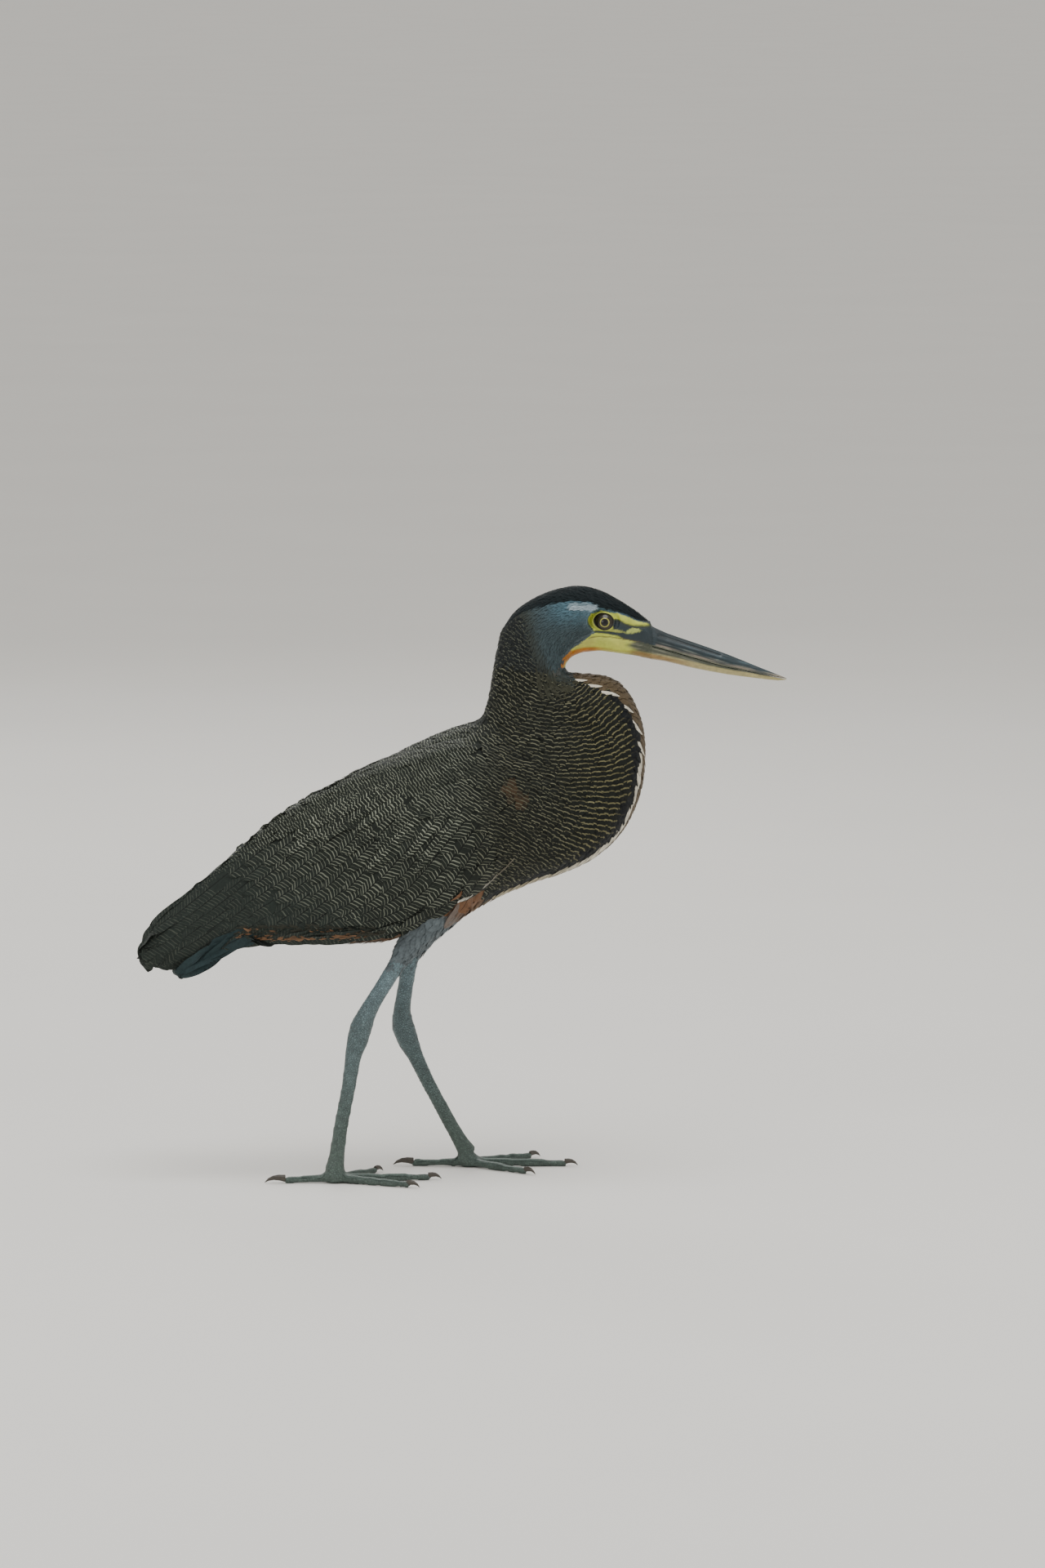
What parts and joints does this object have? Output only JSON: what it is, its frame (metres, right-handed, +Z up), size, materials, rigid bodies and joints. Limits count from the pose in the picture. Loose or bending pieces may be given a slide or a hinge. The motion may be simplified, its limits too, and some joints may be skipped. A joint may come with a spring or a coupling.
{
  "type": "life-size heron model",
  "caption": "Still life-size model of a bare-throated tiger heron, walking with its neck folded in an S and its bill pointing forward.",
  "frame": {"origin": "centre of the bounding box's footprint, on the floor that the toes stand on", "axes": "+X towards the bill's tip, +Y to the bird's left side, +Z up"},
  "size_m": [0.4934, 0.1416, 0.4516],
  "materials": {
    "barred_plumage": "matt feathers, near-black with fine buff bars",
    "head_plumage": "matt feathers: black cap, blue-grey cheeks and bare yellow skin round the eye and jaw",
    "wing_plumage": "matt feathers, dark slate with fine buff bars",
    "tail_plumage": "matt slate feathers",
    "thigh_plumage": "soft grey to rufous feathers",
    "leg_skin": "blue-grey scaled skin, satin",
    "bill_horn": "slate horn above, yellow to pale horn below, low gloss",
    "claw_horn": "dark horn, low gloss",
    "eye": "polished dark eye with a yellow ring"
  },
  "bodies": {
    "root": {"bill_lower": "bill_horn", "bill_upper": "bill_horn", "claw_left_1": "claw_horn", "claw_left_2": "claw_horn", "claw_left_3": "claw_horn", "claw_left_4": "claw_horn", "claw_right_1": "claw_horn", "claw_right_2": "claw_horn", "claw_right_3": "claw_horn", "claw_right_4": "claw_horn", "eye_left": "eye", "eye_right": "eye", "foot_left": "leg_skin", "foot_right": "leg_skin", "head": "head_plumage", "neck_lower": "barred_plumage", "neck_upper": "barred_plumage", "primaries_left": "tail_plumage", "primaries_right": "tail_plumage", "shank_left": "leg_skin", "shank_right": "leg_skin", "tail": "tail_plumage", "tarsus_left": "leg_skin", "tarsus_right": "leg_skin", "thigh_left": "thigh_plumage", "thigh_right": "thigh_plumage", "trunk": "barred_plumage", "wing_left": "wing_plumage", "wing_right": "wing_plumage"}
  },
  "joints": []
}
